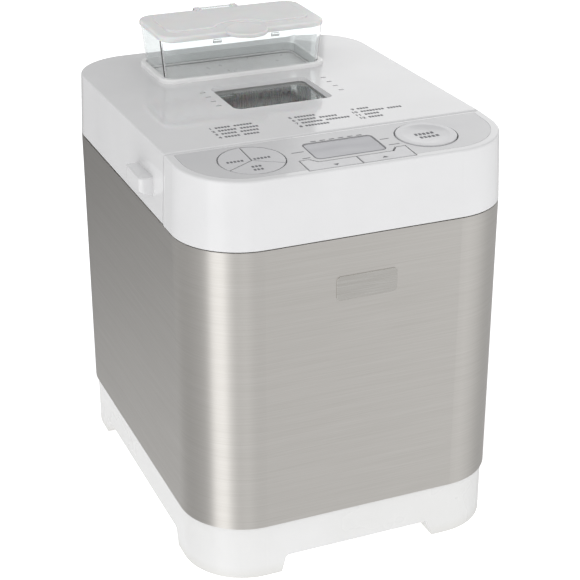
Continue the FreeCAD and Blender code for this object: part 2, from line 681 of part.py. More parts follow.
def rocker_outline(grow, z):
    # the bracket-shaped pair of keys below the display: arms rise at both outer ends
    x0, x1 = -36.0 - grow, 36.0 + grow
    low, bar, arm = -137.2 - grow, -126.6 + grow, -121.4 + grow
    inner_x = 30.0 - grow
    return [(x0, low, z), (x1, low, z), (x1, arm, z), (inner_x, arm, z), (inner_x - 4, bar, z),
            (-inner_x + 4, bar, z), (-inner_x, arm, z), (x0, arm, z)]


def make_panel():
    skin = 0.3
    top = split_z
    outer = roof(0.0, 0.0).common(box(-130, 130, -160, split_y - split_gap / 2, panel_z0, 320))
    outer = round_edges(outer, edge_round, lambda e: on_roof(e, -200, split_y))
    behind = split_y - split_gap / 2 - top_wall
    hollow = roof(top_wall, top_wall).common(box(-130, 130, -160, behind, 230, 320))
    housing = outer.cut(hollow)
    bosses = []
    for x, y in panel_screw_places():
        bosses.append(rod(3.4, (x, y, deck_z), (x, y, 295.0)).common(roof(1.0, 1.0)))
    housing = fuse(housing, *bosses)
    under = slab(110.0, 140.0, 42.0, 230.0, deck_z)
    housing = housing.cut(under)
    # recess for the overlay sheet, and the openings for keys and display
    sheet_in = 3.4
    edge = roof(sheet_in + 2.0, 0.0)
    recess = edge.common(box(-130, 130, -160, split_y - 3.4, 270, 320)).cut(roof(0.0, skin))
    through = 5.0
    cuts = [recess]
    hole = rod(dial_r + key_gap, (dial_x, dial_y, top - through), (dial_x, dial_y, top + 5))
    start_hole = rod(start_r + key_gap, (start_x, start_y, top - through), (start_x, start_y, top + 5))
    rocker_hole = prism(rocker_outline(key_gap, top - through), (0, 0, 10))
    lcd = slab((lcd_x1 - lcd_x0) / 2, (lcd_y1 - lcd_y0) / 2, 3.0, top - through, top + 5,
               (lcd_x0 + lcd_x1) / 2, (lcd_y0 + lcd_y1) / 2)
    openings = [tilt(s) for s in (hole, start_hole, rocker_hole, lcd)]
    cuts += openings
    for x, y in panel_screw_places():
        cuts.append(rod(1.5 + fit, (x, y, 230), (x, y, 262)))
    keep("panel_housing", cut(housing, *cuts))
    gap = 0.25
    sheet_edge = roof(sheet_in + 2.0 + gap, 0.0)
    overlay = sheet_edge.common(box(-130, 130, -160, split_y - 3.4 - gap, 270, 320)).cut(roof(0.0, skin))
    keep("panel_overlay", cut(overlay, *openings))

    # keys: a cap level with the overlay, a wider foot below the plate that stops it coming out
    cap_z = top - top_wall - 0.4
    foot_z = cap_z - 1.6
    names = ("key_menu", "key_colour", "key_size")
    for name, middle in zip(names, (150, 30, 270)):
        cap = dial_sector(middle, dial_r, foot_z, top + 0.1, 0.0)
        foot = dial_sector(middle, dial_r, foot_z, cap_z, 2.2)
        key = fuse(cap, foot)
        key.translate(V(dial_x, dial_y, 0))
        key = round_edges(key, 0.35, lambda e: e.BoundBox.ZMin > top + 0.09)
        keep(name, tilt(key))
    cap = rod(start_r, (start_x, start_y, foot_z), (start_x, start_y, top + 0.6))
    foot = rod(start_r + 2.2, (start_x, start_y, foot_z), (start_x, start_y, cap_z))
    dish_r = 128.0
    dish = Part.makeSphere(dish_r, V(start_x, start_y, top + 0.6 - 1.0 + dish_r))
    key = round_edges(cap, 0.5, lambda e: e.BoundBox.ZMin > top + 0.59)
    keep("key_start", tilt(fuse(key, foot).cut(dish)))
    for name, side in (("key_down", -1), ("key_up", 1)):
        half = box(*sorted((side * key_gap / 2, side * 60)), -150, -100, 200, 320)
        cap = prism(rocker_outline(0.0, foot_z), (0, 0, top + 0.1 - foot_z)).common(half)
        foot = prism(rocker_outline(1.1, foot_z), (0, 0, cap_z - foot_z)).common(half)
        key = fuse(cap, foot)
        key = round_edges(key, 0.35, lambda e: e.BoundBox.ZMin > top + 0.09)
        keep(name, tilt(key))

    cx, cy = (lcd_x0 + lcd_x1) / 2, (lcd_y0 + lcd_y1) / 2
    hx, hy = (lcd_x1 - lcd_x0) / 2, (lcd_y1 - lcd_y0) / 2
    lens = slab(hx - 0.35, hy - 0.35, 2.7, top - top_wall, top - 0.3, cx, cy)
    keep("display_lens", tilt(lens))
    module = box(cx - hx - 1, cx + hx + 1, cy - hy, cy + hy + 1.5, top - top_wall - 4.0, top - top_wall)
    mat_z = foot_z - 1.0
    mat = box(-90, 82, -134.5, -87, mat_z - 1.2, mat_z)
    mat = round_edges(mat, 30.0, lambda e: abs(e.Length - 1.2) < 0.01 and e.BoundBox.YMax < -130)
    clear = [rod(4.0, (x, y, 240), (x, y, 300)) for x, y in panel_screw_places()]
    notch = box(cx - hx - 1.4, cx + hx + 1.4, cy - hy - 0.4, cy + hy + 1.9, mat_z - 2, mat_z + 1)
    mat = cut(mat, notch, *clear)
    keep("key_mat", tilt(mat))
    board = box(-88, 80, -133, -88, mat_z - 3.0, mat_z - 1.4)
    board = round_edges(board, 28.0, lambda e: abs(e.Length - 1.6) < 0.01 and e.BoundBox.YMax < -130)
    chips = [box(-50, -30, -118, -104, mat_z - 5, mat_z - 3.0),
             box(10, 40, -110, -96, mat_z - 6, mat_z - 3.0),
             box(-10, 2, -128, -116, mat_z - 9, mat_z - 3.0)]
    posts = []
    for x, y in ((-84, -92), (76, -92), (-30, -92), (26, -92)):
        post = rod(3.0, (x, y, mat_z - 12), (x, y, mat_z - 3.0))
        posts.append(tilt(post))
    keep("control_board", tilt(cut(fuse(board, *chips), *clear)), tilt(module), *posts)


def panel_screw_places():
    return [(-98.0, -92.0), (98.0, -92.0), (-43.5, -131.0), (43.5, -131.0)]


def lid_screw_places():
    return [(s * 98.5, y) for s in (-1, 1) for y in (-64.0, 25.0, 100.0)]


def make_lid():
    front = split_y + split_gap / 2
    cover = roof(0.0, 0.0).common(box(-130, 130, front, 160, lid_z0, 320))
    cover = round_edges(cover, edge_round, lambda e: on_roof(e, split_y, 200))
    hollow = roof(top_wall, top_wall).common(box(-130, 130, front + top_wall, 160, 230, 320))
    cover = cover.cut(hollow).cut(slab(110.0, 140.0, 42.0, 230.0, deck_z + 0.3))
    frame = slab(42.5, 33.0, 13.0, 278.5, 285.0, top_cx, win_cy)
    skirt = slab(disp_x - 1.0, disp_y - 0.2, disp_r, 282.5, 285.0, top_cx, disp_cy)
    added = [frame, skirt]
    for x, y in lid_screw_places():
        added.append(rod(3.6, (x, y, rim_z + 1.0), (x, y, 295.0)).common(roof(1.0, 1.0)))
    tab = prism([(-109.5, -61, 252), (-121, -61, 257), (-121, -61, 266), (-109.5, -61, 266)], (0, 31, 0))
    tab = round_edges(tab, 3.0, lambda e: e.BoundBox.XMax < -120.9 and e.BoundBox.ZLength > 8)
    tab = round_edges(tab, 1.0, lambda e: e.BoundBox.XMax < -111 and e.BoundBox.ZMin > 265.9)
    added.append(tab.cut(roof(1.0, 0.0)))
    for s in (-1, 1):
        x0, x1 = s * hinge_x - knuckle_half, s * hinge_x + knuckle_half
        added.append(rod(knuckle_r, (x0, hinge_y, hinge_z), (x1, hinge_y, hinge_z)))
        added.append(box(x0, x1, 141.5, hinge_y, hinge_z - 3.0, hinge_z + knuckle_r))
    cover = fuse(cover, *added)
    cuts = [
        loft(outline(win_x - 1.0, win_y - 1.0, win_r - 1.0, glass_z1, top_cx, win_cy),
             outline(win_x + 0.8, win_y + 0.8, win_r + 0.8, 289.5, top_cx, win_cy)),
        slab(39.7, 30.2, 11.2, 270, glass_z1, top_cx, win_cy),
        slab(60.0, 29.3, 9.8, 270, 295, top_cx, disp_cy),
    ]
    vent_x = 45.5
    for s in (-1, 1):
        bore = rod(pin_r + running, (s * hinge_x - 8, hinge_y, hinge_z), (s * hinge_x + 8, hinge_y, hinge_z))
        cuts.append(bore)
        for i in range(4):
            y = 28.0 - 10.5 * i
            cuts.append(box(s * vent_x - 1.9, s * vent_x + 1.9, y - 0.9, y + 0.9, 280, 295))
    for x, y in lid_screw_places():
        cuts.append(rod(1.5 + fit, (x, y, 250), (x, y, 266)))
    keep("lid_cover", cut(cover, *cuts))

    # inner plate: a flat rim, a raised middle over the pan
    rim = roof(top_wall + 0.4, 0.0).common(box(-130, 130, front + top_wall + 0.4, 160, rim_z, rim_z + 1.0))
    dome = slab(87.0, 88.0, 28.0, rim_z, liner_z + 1.0, 0, drive_y)
    bowl = slab(86.0, 87.0, 27.0, rim_z - 1, liner_z, 0, drive_y)
    liner = fuse(rim, dome).cut(bowl)
    cuts = [slab(36.8, 27.3, 9.5, 250, 270, top_cx, win_cy),
            slab(58.7, 27.95, 8.5, 250, 270, top_cx, disp_cy)]
    screws = []
    for x, y in lid_screw_places():
        cuts.append(rod(1.5 + fit, (x, y, 250), (x, y, 256)))
        screws.append(screw(x, y, rim_z, 1, 2.7, 1.5, 1.5, 12.0))
    keep("lid_liner", cut(liner, *cuts))
    keep("liner_screws", *screws)
    seal = ring(chamber_x + 2.4, chamber_y + 2.4, chamber_r + 2.4, 4.6, 249.2, rim_z, 0, drive_y)

    keep("window_glass", slab(39.5, 30.0, 11.0, glass_z0, glass_z1, top_cx, win_cy))
    keep("lid_seals", seal, ring(39.5, 30.0, 11.0, 3.0, 278.5, glass_z0, top_cx, win_cy))
    well = ring(37.6, 28.1, 10.3, 0.8, liner_z + 1.0, 277.7, top_cx, win_cy)
    collar = slab(42.5, 33.0, 13.0, 277.7, 278.5, top_cx, win_cy)
    collar = collar.cut(slab(36.8, 27.3, 9.5, 270, 280, top_cx, win_cy))
    keep("window_well", fuse(well, collar))


def make_hinge():
    pins = []
    brackets = []
    screws = []
    for s in (-1, 1):
        x = s * hinge_x
        pins.append(rod(pin_r, (x - 14, hinge_y, hinge_z), (x + 14, hinge_y, hinge_z)))
        plate = box(x - 17, x + 17, body_y, body_y + 1.8, 214, 239.5)
        plate = round_edges(plate, 3.0, lambda e: abs(e.Length - 1.8) < 0.01 and e.BoundBox.ZMax < 230)
        knuckles = []
        for side in (-1, 1):
            a, b = sorted((x + side * (knuckle_half + 0.4), x + side * 14))
            knuckles.append(rod(knuckle_r, (a, hinge_y, hinge_z), (b, hinge_y, hinge_z)))
            arm = prism([(a, body_y + 0.9, 230), (a, hinge_y + 1.5, 239), (a, hinge_y + 3.6, hinge_z - 2.0),
                         (a, hinge_y - 3.6, hinge_z - 2.0), (a, body_y + 0.9, 239.5)], (b - a, 0, 0))
            knuckles.append(arm)
        bracket = fuse(plate, *knuckles)
        bracket = bracket.cut(rod(pin_r, (x - 20, hinge_y, hinge_z), (x + 20, hinge_y, hinge_z)))
        for dx in (-11.0, 11.0):
            bracket = bracket.cut(rod(1.5 + fit, (x + dx, 140, 224), (x + dx, 150, 224)))
            head = rod(2.7, (x + dx, body_y + 1.8, 224), (x + dx, body_y + 3.2, 224))
            head = round_edges(head, 0.6, lambda e: e.BoundBox.YMin > body_y + 3.1)
            screws.append(fuse(head, rod(1.5, (x + dx, 137, 224), (x + dx, body_y + 1.8, 224))))
        brackets.append(bracket)
    keep("hinge_pins", *pins)
    keep("hinge_brackets", *brackets)
    nodes["case_screws"] += screws


def make_dispenser():
    # collar: a proud ring on the lid, with a sleeve down through it
    lip = slab(disp_x, disp_y, disp_r, 284.5, 289.6, 0, disp_cy)
    lip = round_edges(lip, 1.2, lambda e: e.BoundBox.ZMin > 289.5)
    lip = lip.cut(roof(-5.0, 0.0))
    sleeve = slab(59.8, 29.0, 9.55, 279.0, 289.0, 0, disp_cy)
    collar = fuse(lip, sleeve)
    pocket = loft(outline(58.7, 27.95, 8.5, bin_z0, 0, disp_cy),
                  outline(61.9, 30.2, 9.9, bin_z1, 0, disp_cy))
    collar = cut(collar, pocket,
                 slab(56.4, 25.7, 6.5, 270, 295, 0, disp_cy),
                 slab(58.7, 27.95, 8.5, 270, 282.7, 0, disp_cy))
    collar = collar.cut(rod(1.5 + running, (-70, flap_y, flap_z), (70, flap_y, flap_z)))
    keep("dispenser_collar", collar)

    low = outline(58.4, 27.65, 8.2, bin_z0, 0, disp_cy)
    high = outline(61.6, 29.9, 9.6, bin_z1, 0, disp_cy)
    gauge = 1.9
    low_in = outline(58.4 - gauge, 27.65 - gauge, 8.2 - gauge, bin_z0, 0, disp_cy)
    high_in = outline(61.6 - gauge, 29.9 - gauge, 9.6 - gauge, bin_z1, 0, disp_cy)
    inside = loft(low_in, high_in)
    clear = loft(low, high).cut(inside)
    rear = disp_cy + 29.9
    web = box(-12.0, 12.0, rear - 2.0, cap_hinge_y + 1.0, bin_z1 - 4.0, bin_z1)
    arm = box(-12.0, 12.0, cap_hinge_y - 1.8, cap_hinge_y + 1.8, bin_z1 - 3.6, cap_hinge_z)
    barrel = rod(2.4, (-12.0, cap_hinge_y, cap_hinge_z), (12.0, cap_hinge_y, cap_hinge_z))
    lugs = []
    for x in (-22.0, 22.0):
        lugs.append(box(x - 3, x + 3, disp_cy - 30.9, disp_cy - 29.0, bin_z1 - 3.4, bin_z1 - 1.0))
    clear = fuse(clear, web, arm, barrel, *lugs)
    clear = cut(clear, inside, rod(1.5, (-20, cap_hinge_y, cap_hinge_z), (20, cap_hinge_y, cap_hinge_z)))
    pin = rod(1.45, (-16.4, cap_hinge_y, cap_hinge_z), (16.4, cap_hinge_y, cap_hinge_z))
    keep("dispenser_bin", clear, pin)

    # hinged cap: a thin tray lid with a raised middle and a round thumb tab over the front edge
    cy, hy = (cap_y0 + cap_y1) / 2, (cap_y1 - cap_y0) / 2
    tab_y, tab_r = 55.5, 15.5
    cap = slab(cap_x, hy, 12.0, cap_z0, cap_edge_z, 0, cy)
    cap = round_edges(cap, 1.8, lambda e: e.BoundBox.ZMin > cap_edge_z - 0.1)
    tab = rod(tab_r, (0, tab_y, cap_edge_z - 2.4), (0, tab_y, cap_edge_z + 0.5))
    tab = round_edges(tab, 0.9, lambda e: e.Length > 50)
    raised = slab(cap_x - 8.5, hy - 11, 8.0, cap_edge_z - 0.6, cap_z1, 0, cy + 1)
    raised = raised.cut(rod(23.5, (0, tab_y - 2, 300), (0, tab_y - 2, 330)))
    shoulders = [e for e in raised.Edges if abs(e.Length - 1.7) < 0.01 and abs(e.BoundBox.XMin) < 30]
    raised = raised.makeFillet(5.0, shoulders)
    raised = round_edges(raised, 1.0, lambda e: e.BoundBox.ZMin > cap_z1 - 0.1)
    cap = fuse(cap, raised)
    under = slab(cap_x - 2, hy - 2, 10.0, cap_z0 - 1, cap_z0 + 2.0, 0, cy)
    locate = ring(57.2, 25.6, 6.0, 1.2, bin_z1 - 1.4, cap_z0 + 2.4, 0, disp_cy)
    cap = cap.cut(under).fuse([locate, tab])
    dish_r = 120.0
    dish = Part.makeSphere(dish_r, V(0, tab_y, cap_edge_z + 0.5 - 0.9 + dish_r))
    cap = cap.cut(dish.common(rod(tab_r - 1.2, (0, tab_y, 300), (0, tab_y, 330))))
    cap = cap.cut(box(-12.4, 12.4, cap_hinge_y - 3.8, 130, 300, 330))
    for s in (-1, 1):
        a, b = sorted((s * 12.4, s * 16.4))
        cap = cap.fuse(rod(2.8, (a, cap_hinge_y, cap_hinge_z), (b, cap_hinge_y, cap_hinge_z)))
        cap = cap.fuse(box(a, b, 115.6, cap_hinge_y, cap_hinge_z - 0.2, cap_hinge_z + 2.8))
    cap = cap.removeSplitter()
    cap = cap.cut(rod(1.5, (-20, cap_hinge_y, cap_hinge_z), (20, cap_hinge_y, cap_hinge_z)))
    keep("dispenser_lid", cap)

    # drop flap in the bottom of the bin, its pin, crank, spring and the solenoid that lets it go
    flap = slab(57.4, 25.5, 7.5, flap_z, flap_z + 2.2, 0, flap_y - 25.7)
    square = box(-56.4, 56.4, flap_y - 20, flap_y, flap_z, flap_z + 2.2)
    barrel = rod(2.2, (-53.0, flap_y, flap_z), (53.0, flap_y, flap_z))
    flap = fuse(flap, square, barrel).cut(rod(1.5, (-60, flap_y, flap_z), (60, flap_y, flap_z)))
    keep("dispenser_flap", flap)
    pin = rod(1.5, (-62, flap_y, flap_z), (67, flap_y, flap_z))
    start = math.radians(flap_swing / 2)
    peg_y = flap_y - crank * math.sin(start)
    peg_z = flap_z - crank * math.cos(start)
    boss = rod(2.8, (63.2, flap_y, flap_z), (66.0, flap_y, flap_z))
    arm = box(63.2, 66.0, -2.0, 2.0, -crank, 0)
    arm = fuse(arm, rod(2.0, (63.2, 0, -crank), (66.0, 0, -crank)))
    arm.rotate(V(0, 0, 0), V(1, 0, 0), -flap_swing / 2)
    arm.translate(V(0, flap_y, flap_z))
    peg = rod(1.2, (65.0, peg_y, peg_z), (70.0, peg_y, peg_z))
    lever = fuse(boss, arm, peg).cut(rod(1.5, (60, flap_y, flap_z), (70, flap_y, flap_z)))
    coil = pipe(2.1, 1.6, (-66.0, flap_y, flap_z), (-60.6, flap_y, flap_z))
    keep("flap_crank", lever, pin, coil)
    mid_z = flap_z - crank * (1 + math.cos(start)) / 2
    fork = box(66.6, 69.2, peg_y - 3.4, peg_y + 3.4, mid_z - 4.6, mid_z + 4.6)
    fork = fork.cut(box(60, 80, peg_y - 1.8, peg_y + 1.8, mid_z - 3.2, mid_z + 3.2))
    plunger = rod(2.2, (68.0, peg_y - 28, mid_z), (68.0, peg_y - 3.0, mid_z))
    plunger = plunger.cut(box(60, 80, peg_y - 1.8, peg_y + 5, mid_z - 3.2, mid_z + 3.2))
    keep("solenoid_plunger", fuse(fork, plunger))
    body_y1 = peg_y - 16.0
    coil_box = box(62.5, 78, body_y1 - 26, body_y1, mid_z - 7.0, mid_z + 7.0)
    coil_box = round_edges(coil_box, 1.5, lambda e: abs(e.Length - 26) < 0.01)
    keep("flap_solenoid", coil_box.cut(rod(2.2 + running, (68, 0, mid_z), (68, 120, mid_z))))
    chute = ring(59.8, 29.0, 9.55, 1.05, liner_z + 1.0, 279.0, 0, disp_cy)
    keep("dispenser_chute", chute.cut(rod(1.5 + running, (-70, flap_y, flap_z), (70, flap_y, flap_z))))
    for name in ("dispenser_collar", "dispenser_bin", "dispenser_lid", "dispenser_flap", "flap_crank",
                 "solenoid_plunger", "flap_solenoid", "dispenser_chute"):
        nodes[name] = [solid.translated(V(top_cx, 0, 0)) for solid in nodes[name]]


def export():
    os.makedirs("parts", exist_ok=True)
    whole = FreeCAD.BoundBox()
    for solids in nodes.values():
        for solid in solids:
            whole.add(solid.optimalBoundingBox(False, False))
    shift = V(-whole.Center.x, -whole.Center.y, -whole.ZMin)
    for name, solids in nodes.items():
        moved = []
        for solid in solids:
            for piece in solid.Solids:
                copy = piece.copy()
                copy.translate(shift)
                moved.append(copy)
        shape = moved[0] if len(moved) == 1 else Part.makeCompound(moved)
        if len(solids) != len(moved) or not shape.isValid():
            print("check", name, len(solids), len(moved), shape.isValid())
        shape.exportStep("parts/" + name + ".step")
    print("nodes", len(nodes), "shift", shift, "size", whole.XLength, whole.YLength, whole.ZLength)


make_base()
make_casing()
make_chassis()
make_chamber()
make_pan()
make_drive()
make_electrics()
make_deck()
make_panel()
make_lid()
make_hinge()
make_dispenser()
export()
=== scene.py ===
import math

import bmesh
import bpy
from mathutils import Matrix, Vector


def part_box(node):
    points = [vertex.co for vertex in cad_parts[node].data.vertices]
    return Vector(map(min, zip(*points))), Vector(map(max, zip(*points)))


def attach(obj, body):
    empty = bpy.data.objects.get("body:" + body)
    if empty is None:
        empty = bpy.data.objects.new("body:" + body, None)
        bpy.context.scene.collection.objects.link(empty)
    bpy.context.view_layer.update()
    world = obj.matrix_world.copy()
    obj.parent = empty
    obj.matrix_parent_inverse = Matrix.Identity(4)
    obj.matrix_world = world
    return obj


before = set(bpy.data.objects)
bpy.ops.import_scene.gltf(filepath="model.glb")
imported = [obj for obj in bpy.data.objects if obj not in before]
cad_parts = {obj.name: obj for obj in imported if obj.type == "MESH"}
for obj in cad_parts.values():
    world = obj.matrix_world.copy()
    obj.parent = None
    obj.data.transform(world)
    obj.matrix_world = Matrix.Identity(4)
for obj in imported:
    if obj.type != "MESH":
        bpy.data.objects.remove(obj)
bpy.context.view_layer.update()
print("frame loaded,", len(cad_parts), "parts")

mm = 0.001

# the middle of the steel casing at floor level is the zero of every drawing below
casingLow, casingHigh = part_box("steel_casing")
middle = Vector(((casingLow.x + casingHigh.x) / 2, (casingLow.y + casingHigh.y) / 2, 0))


def place(x, y, z):   # a point given in millimetres from the casing's middle
    return middle + Vector((x, y, z)) * mm


def toLinear(hexColour):
    channels = []
    for i in (0, 2, 4):
        c = int(hexColour[i:i + 2], 16) / 255
        channels.append(c / 12.92 if c <= 0.04045 else ((c + 0.055) / 1.055) ** 2.4)
    return (*channels, 1.0)


def addNode(tree, kind, settings=None, links=None):
    node = tree.nodes.new("ShaderNode" + kind)
    for name, value in (settings or {}).items():
        if isinstance(name, int) or name in node.inputs:
            node.inputs[name].default_value = value
        else:
            setattr(node, name, value)
    for name, source in (links or {}).items():
        tree.links.new(source, node.inputs[name])
    return node


# Noise sizes below are in millimetres. Grains and brush lines under about 1 mm are drawn two to five times
# coarser than the real ones, because those are too fine to show.
noiseSpec = {"low": 0.3, "high": 0.7, "apart": 2.3}   # the usual span of a noise, and the shift between two


def surface(spec):   # one whole finish: a body colour, a gloss and a relief, each led by one of its noises
    material = bpy.data.materials.new(spec["name"])
    material.use_nodes = True
    tree = material.node_tree
    tree.nodes.clear()
    shader = addNode(tree, "BsdfPrincipled", spec["shader"])
    addNode(tree, "OutputMaterial", {}, {"Surface": shader.outputs[0]})
    where = addNode(tree, "TexCoord")
    inMm = addNode(tree, "VectorMath", {"operation": "SCALE", "Scale": 1 / mm},
                   {0: where.outputs["Object"]}).outputs[0]
    noise = {}
    for label, (sizes, detail) in spec["noise"].items():
        shift = noiseSpec["apart"] * len(noise)
        stretched = addNode(tree, "Mapping", {"Scale": [1 / s for s in sizes], "Location": [shift] * 3},
                            {"Vector": inMm})
        noise[label] = addNode(tree, "TexNoise", {"Scale": 1.0, "Detail": detail},
                               {"Vector": stretched.outputs[0]}).outputs["Fac"]
    span = {"From Min": noiseSpec["low"], "From Max": noiseSpec["high"]}
    label, first, second = spec["colour"]
    amount = addNode(tree, "MapRange", span, {"Value": noise[label]}).outputs["Result"]
    body = addNode(tree, "Mix", {"data_type": "RGBA", 6: toLinear(first), 7: toLinear(second)},
                   {0: amount}).outputs[2]
    label, low, high = spec["rough"]
    rough = addNode(tree, "MapRange", {**span, "To Min": low, "To Max": high},
                    {"Value": noise[label]}).outputs["Result"]
    normal = None
    for label, depth in spec["relief"]:
        links = {"Height": noise[label]}
        if normal:
            links["Normal"] = normal
        normal = addNode(tree, "Bump", {"Strength": 1.0, "Distance": depth * mm}, links).outputs[0]
    for name, source in (("Base Color", body), ("Roughness", rough), ("Normal", normal)):
        tree.links.new(source, shader.inputs[name])
    return {"material": material, "tree": tree, "shader": shader, "inMm": inMm, "noise": noise, "body": body}


# ABS moulded in a polished tool: white, mirror-smooth, waving a little over the ribs behind it
glossAbs = surface({
    "name": "gloss white ABS, polished moulding", "shader": {"IOR": 1.54},
    "noise": {"flow": ((46, 46, 46), 3), "wipe": ((9, 14, 9), 6), "wave": ((30, 34, 34), 0),
              "skin": ((1.1, 1.1, 1.1), 1)},
    "colour": ("flow", "E3E3E4", "DFDFE0"), "rough": ("wipe", 0.04, 0.08),
    "relief": (("wave", 0.16), ("skin", 0.001))})

# the dispenser's collar: the same resin, painted a brighter white than the lid as a painted highlight, so
# that the lit ring reads as a pale rim
collarAbsPaintedHighlight = surface({
    "name": "white ABS, moulded, painted bright as a highlight", "shader": {"IOR": 1.54},
    "noise": {"flow": ((30, 30, 30), 2), "skin": ((1.1, 1.1, 1.1), 1)},
    "colour": ("flow", "F8F8F8", "F4F4F4"), "rough": ("flow", 0.08, 0.14),
    "relief": (("skin", 0.001),)})

# polypropylene moulded in a spark-eroded tool: softer white, fine even grain, greyer and warmer towards the
# floor
satinBase = surface({
    "name": "white polypropylene, satin moulding", "shader": {"IOR": 1.49},
    "noise": {"patch": ((60, 60, 60), 3), "grain": ((0.7, 0.7, 0.7), 2)},
    "colour": ("patch", "E6E6E6", "E2E2E1"), "rough": ("patch", 0.22, 0.30),
    "relief": (("grain", 0.008),)})
floorwardTintSpec = {"colour": "D4D2CC", "fromMm": 9, "toMm": 0, "amount": 0.45, "patches": None}


def colourLowDown(finish, spec):   # a second colour that grows from one height to a lower one
    tree = finish["tree"]
    height = addNode(tree, "SeparateXYZ", {}, {0: finish["inMm"]}).outputs["Z"]
    share = addNode(tree, "MapRange", {"From Min": spec["fromMm"], "From Max": spec["toMm"], "To Min": 0,
                                       "To Max": spec["amount"]}, {"Value": height}).outputs["Result"]
    if spec["patches"]:
        share = addNode(tree, "Math", {"operation": "MULTIPLY"},
                        {0: share, 1: finish["noise"][spec["patches"]]}).outputs[0]
    coloured = addNode(tree, "Mix", {"data_type": "RGBA", 7: toLinear(spec["colour"])},
                       {0: share, 6: finish["body"]})
    tree.links.new(coloured.outputs[2], finish["shader"].inputs["Base Color"])


colourLowDown(satinBase, floorwardTintSpec)

# stainless sheet, belt-brushed round the casing and lacquered: long fine level lines that draw every
# highlight out up and down, and keep it narrow from side to side
brushedSteel = surface({
    "name": "stainless sheet, brushed and lacquered",
    "shader": {"Metallic": 1.0, "Anisotropic": 0.88, "Anisotropic Rotation": 0.25},
    "noise": {"line": ((42, 42, 0.32), 4), "streak": ((120, 120, 1.3), 3), "sheen": ((70, 70, 40), 1)},
    "colour": ("line", "D3D0CC", "C9C6C1"), "rough": ("streak", 0.33, 0.37),
    "relief": (("line", 0.0022), ("sheen", 0.05))})


def brushRoundTheCasing():   # the brushing runs level, square to the upright axis
    tree = brushedSteel["tree"]
    tangent = addNode(tree, "Tangent", {"direction_type": "RADIAL", "axis": "Z"})
    tree.links.new(tangent.outputs[0], brushedSteel["shader"].inputs["Tangent"])


brushRoundTheCasing()

# thin zinc on pressed steel: pale grey with a cool bloom and finger-sized clouds
zincPlated = surface({
    "name": "pressed steel, zinc plated", "shader": {"Metallic": 1.0},
    "noise": {"bloom": ((9, 9, 9), 6), "rolled": ((15, 0.5, 0.5), 2)},
    "colour": ("bloom", "C4C8CC", "9DA2A8"), "rough": ("bloom", 0.26, 0.46),
    "relief": (("rolled", 0.006),)})

# bright drawn bar, as pins, rivets and screws are: clean grey mirror with fine turning rings
brightBar = surface({
    "name": "steel bar, bright drawn", "shader": {"Metallic": 1.0},
    "noise": {"soft": ((4, 4, 4), 4), "ring": ((0.35, 0.35, 0.35), 1)},
    "colour": ("soft", "D5D7DA", "B7BABF"), "rough": ("soft", 0.13, 0.26),
    "relief": (("ring", 0.002),)})

# hot-dip aluminised sheet: dull silver spangle, browned by baking low down
aluminised = surface({
    "name": "aluminised sheet, hot dipped", "shader": {"Metallic": 1.0},
    "noise": {"spangle": ((5.5, 5.5, 5.5), 3), "stain": ((26, 26, 26), 5), "skin": ((1.2, 1.2, 1.2), 3)},
    "colour": ("spangle", "BFC0BF", "949594"), "rough": ("spangle", 0.32, 0.48),
    "relief": (("skin", 0.012),)})
toastSpec = {"colour": "8A7C68", "fromMm": 130, "toMm": 66, "amount": 0.55, "patches": "stain"}
colourLowDown(aluminised, toastSpec)

# aluminium sheet straight from the rolls: soft silver with faint lines along the sheet
rolledSheet = surface({
    "name": "aluminium sheet, rolled and pressed", "shader": {"Metallic": 1.0},
    "noise": {"line": ((0.4, 70, 70), 3), "dent": ((40, 40, 40), 1)},
    "colour": ("line", "CBCCCD", "C3C4C6"), "rough": ("line", 0.24, 0.30),
    "relief": (("line", 0.0008), ("dent", 0.05))})

# die-cast aluminium as it leaves the tumbler: matt grey, finely pitted
castMetal = surface({
    "name": "aluminium, die cast and tumbled", "shader": {"Metallic": 1.0},
    "noise": {"tone": ((14, 14, 14), 5), "pit": ((0.6, 0.6, 0.6), 4)},
    "colour": ("tone", "B4B5B7", "8F9194"), "rough": ("pit", 0.40, 0.54),
    "relief": (("pit", 0.03),)})

# sprayed non-stick coat on spun aluminium: charcoal, slight orange peel, paler where the paddle rubs
nonStick = surface({
    "name": "non-stick coat, sprayed and baked", "shader": {"Metallic": 0.25, "IOR": 1.38},
    "noise": {"worn": ((24, 24, 7), 5), "peel": ((0.9, 0.9, 0.9), 1)},
    "colour": ("worn", "3A3A3C", "505054"), "rough": ("worn", 0.27, 0.42),
    "relief": (("peel", 0.012),)})
fleckSpec = {"colour": "9A9AA0", "apartMm": 1.6, "edge": (0.10, 0.07), "amount": 0.6}


def fleckThePan():   # sparse bright mineral flecks in the coat
    tree = nonStick["tree"]
    dots = addNode(tree, "TexVoronoi", {"Scale": 1 / fleckSpec["apartMm"]}, {"Vector": nonStick["inMm"]})
    outside, inside = fleckSpec["edge"]   # where a fleck fades out
    sparse = addNode(tree, "MapRange", {"From Min": outside, "From Max": inside, "To Min": 0.0,
                                        "To Max": fleckSpec["amount"]}, {"Value": dots.outputs["Distance"]})
    flecked = addNode(tree, "Mix", {"data_type": "RGBA", 7: toLinear(fleckSpec["colour"])},
                      {0: sparse.outputs["Result"], 6: nonStick["body"]})
    tree.links.new(flecked.outputs[2], nonStick["shader"].inputs["Base Color"])


fleckThePan()

# clear styrene, moulded: glassy, with faint flow and fine rubbed scratches
clearStyrene = surface({
    "name": "clear styrene, polished moulding", "shader": {"Transmission Weight": 1.0, "IOR": 1.42},
    "noise": {"tint": ((60, 60, 60), 0), "rubbed": ((3, 40, 0.8), 4), "flow": ((26, 26, 26), 1)},
    "colour": ("tint", "FAFCFC", "F6F9F9"), "rough": ("rubbed", 0.01, 0.04),
    "relief": (("flow", 0.04),)})


